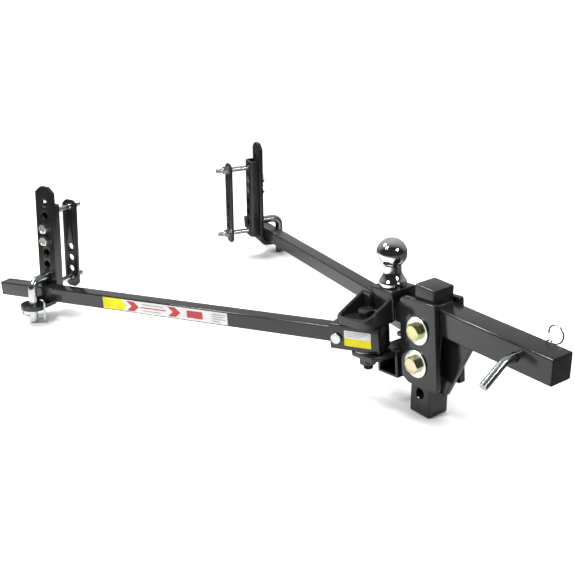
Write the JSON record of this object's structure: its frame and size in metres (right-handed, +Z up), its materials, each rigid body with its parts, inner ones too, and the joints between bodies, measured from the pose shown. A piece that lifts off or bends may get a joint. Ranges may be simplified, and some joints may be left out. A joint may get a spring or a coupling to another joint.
{
  "type": "weight distribution hitch",
  "caption": "Drop shank with a tilting ball head, two square spring arms in swinging sockets, and sway brackets that clamp to a trailer frame and lock with L-pins.",
  "frame": {"origin": "centre of the end face of the square bar that slides into the receiver", "axes": "+X out of that end face towards the tow vehicle, +Y to the left, +Z up; the spring arms trail along -X"},
  "size_m": [1.3086, 0.7725, 0.3142],
  "materials": {
    "black_paint": "satin-gloss black powder coat",
    "zinc": "bright zinc plate",
    "yellow_zinc": "yellow chromate zinc plate",
    "chrome": "polished chrome plate",
    "bare_steel": "plain rolled steel"
  },
  "bodies": {
    "shank": {"shank_receiver_bar": "black_paint", "shank_drop_bar": "black_paint", "shank_gusset": "black_paint", "head_bolt_lower": "yellow_zinc", "head_bolt_washer_lower": "zinc", "head_bolt_nut_lower": "yellow_zinc"},
    "hitch_pin": {"hitch_pin": "zinc"},
    "hitch_pin_clip": {"hitch_pin_clip": "zinc"},
    "head": {"ball_platform": "black_paint", "head_lower_block": "black_paint", "hitch_ball": "chrome", "ball_lock_washer": "zinc", "ball_nut": "zinc", "head_bolt_upper": "yellow_zinc", "head_bolt_washer_upper": "zinc", "head_bolt_nut_upper": "yellow_zinc", "head_side_plate_right": "black_paint", "upper_wing_right": "black_paint", "lower_wing_right": "black_paint", "socket_bolt_right": "black_paint", "socket_bolt_nut_right": "black_paint", "friction_disc_upper_right": "bare_steel", "friction_disc_lower_right": "bare_steel", "head_side_plate_left": "black_paint", "upper_wing_left": "black_paint", "lower_wing_left": "black_paint", "socket_bolt_left": "black_paint", "socket_bolt_nut_left": "black_paint", "friction_disc_upper_left": "bare_steel", "friction_disc_lower_left": "bare_steel"},
    "right_arm": {"arm_socket_right": "black_paint", "spring_arm_right": "black_paint", "arm_pin_right": "zinc"},
    "right_arm_pin_clip": {"arm_pin_clip_right": "zinc"},
    "right_bracket": {"sway_bracket_right": "black_paint", "frame_channel_right": "black_paint", "bracket_bolt_upper_right": "zinc", "bracket_bolt_lower_right": "zinc", "clamp_bolt_upper_right": "zinc", "clamp_bolt_lower_right": "zinc"},
    "right_link": {"link_plate_right": "black_paint", "clamp_nut_upper_right": "zinc", "clamp_nut_lower_right": "zinc"},
    "right_l_pin": {"l_pin_right": "zinc"},
    "right_l_pin_bail": {"l_pin_bail_right": "zinc"},
    "left_arm": {"arm_socket_left": "black_paint", "spring_arm_left": "black_paint", "arm_pin_left": "zinc"},
    "left_arm_pin_clip": {"arm_pin_clip_left": "zinc"},
    "left_bracket": {"sway_bracket_left": "black_paint", "frame_channel_left": "black_paint", "bracket_bolt_upper_left": "zinc", "bracket_bolt_lower_left": "zinc", "clamp_bolt_upper_left": "zinc", "clamp_bolt_lower_left": "zinc"},
    "left_link": {"link_plate_left": "black_paint", "clamp_nut_upper_left": "zinc", "clamp_nut_lower_left": "zinc"},
    "left_l_pin": {"l_pin_left": "zinc"},
    "left_l_pin_bail": {"l_pin_bail_left": "zinc"}
  },
  "joints": [
    {"name": "hitch_pin_turn", "type": "hinge", "parent": "shank", "child": "hitch_pin", "pos_m": [-0.078, 0, 0], "axis": [0, 1, 0], "continuous": true},
    {"name": "hitch_pin_clip_pull", "type": "slide", "parent": "hitch_pin", "child": "hitch_pin_clip", "axis": [0.6691, 0, 0.7431], "range_m": [0, 0.04]},
    {"name": "head_tilt", "type": "hinge", "parent": "shank", "child": "head", "pos_m": [-0.2934, 0, -0.0262], "axis": [0, 1, 0], "range_deg": [-3, 5.5]},
    {"name": "right_arm_swing", "type": "hinge", "parent": "head", "child": "right_arm", "pos_m": [-0.40187, -0.0635, -0.06829], "axis": [-0.0958, 0, 0.9954], "range_deg": [-12.7, 29.3]},
    {"name": "right_arm_pin_clip_pull", "type": "slide", "parent": "right_arm", "child": "right_arm_pin_clip", "axis": [-0.0958, 0, 0.9954], "range_m": [0, 0.026]},
    {"name": "right_bracket_slide", "type": "slide", "parent": "right_arm", "child": "right_bracket", "axis": [-0.9183, -0.3859, -0.0884], "range_m": [-0.06, 0.06]},
    {"name": "right_link_clamp", "type": "slide", "parent": "right_bracket", "child": "right_link", "axis": [0.3867, -0.9202, 0.061], "range_m": [-0.01, 0.03]},
    {"name": "right_l_pin_lift", "type": "slide", "parent": "right_bracket", "child": "right_l_pin", "axis": [-0.0237, 0.0563, 0.9981], "range_m": [-0.004, 0.016]},
    {"name": "right_l_pin_bail_swing", "type": "hinge", "parent": "right_l_pin", "child": "right_l_pin_bail", "pos_m": [-1.1423, -0.41499, -0.19193], "axis": [0.9219, 0.3874, 0], "range_deg": [0, 150]},
    {"name": "left_arm_swing", "type": "hinge", "parent": "head", "child": "left_arm", "pos_m": [-0.40187, 0.0635, -0.06829], "axis": [0.0958, 0, -0.9954], "range_deg": [-4.9, 37.1]},
    {"name": "left_arm_pin_clip_pull", "type": "slide", "parent": "left_arm", "child": "left_arm_pin_clip", "axis": [-0.0958, 0, 0.9954], "range_m": [0, 0.026]},
    {"name": "left_bracket_slide", "type": "slide", "parent": "left_arm", "child": "left_bracket", "axis": [-0.9619, 0.2571, -0.0926], "range_m": [-0.06, 0.06]},
    {"name": "left_link_clamp", "type": "slide", "parent": "left_bracket", "child": "left_link", "axis": [0.2582, 0.9661, 0], "range_m": [-0.01, 0.03]},
    {"name": "left_l_pin_lift", "type": "slide", "parent": "left_bracket", "child": "left_l_pin", "axis": [0, 0, 1], "range_m": [-0.004, 0.016]},
    {"name": "left_l_pin_bail_swing", "type": "hinge", "parent": "left_l_pin", "child": "left_l_pin_bail", "pos_m": [-1.16551, 0.30282, -0.1941], "axis": [-0.9661, 0.2582, 0], "range_deg": [0, 150]}
  ]
}
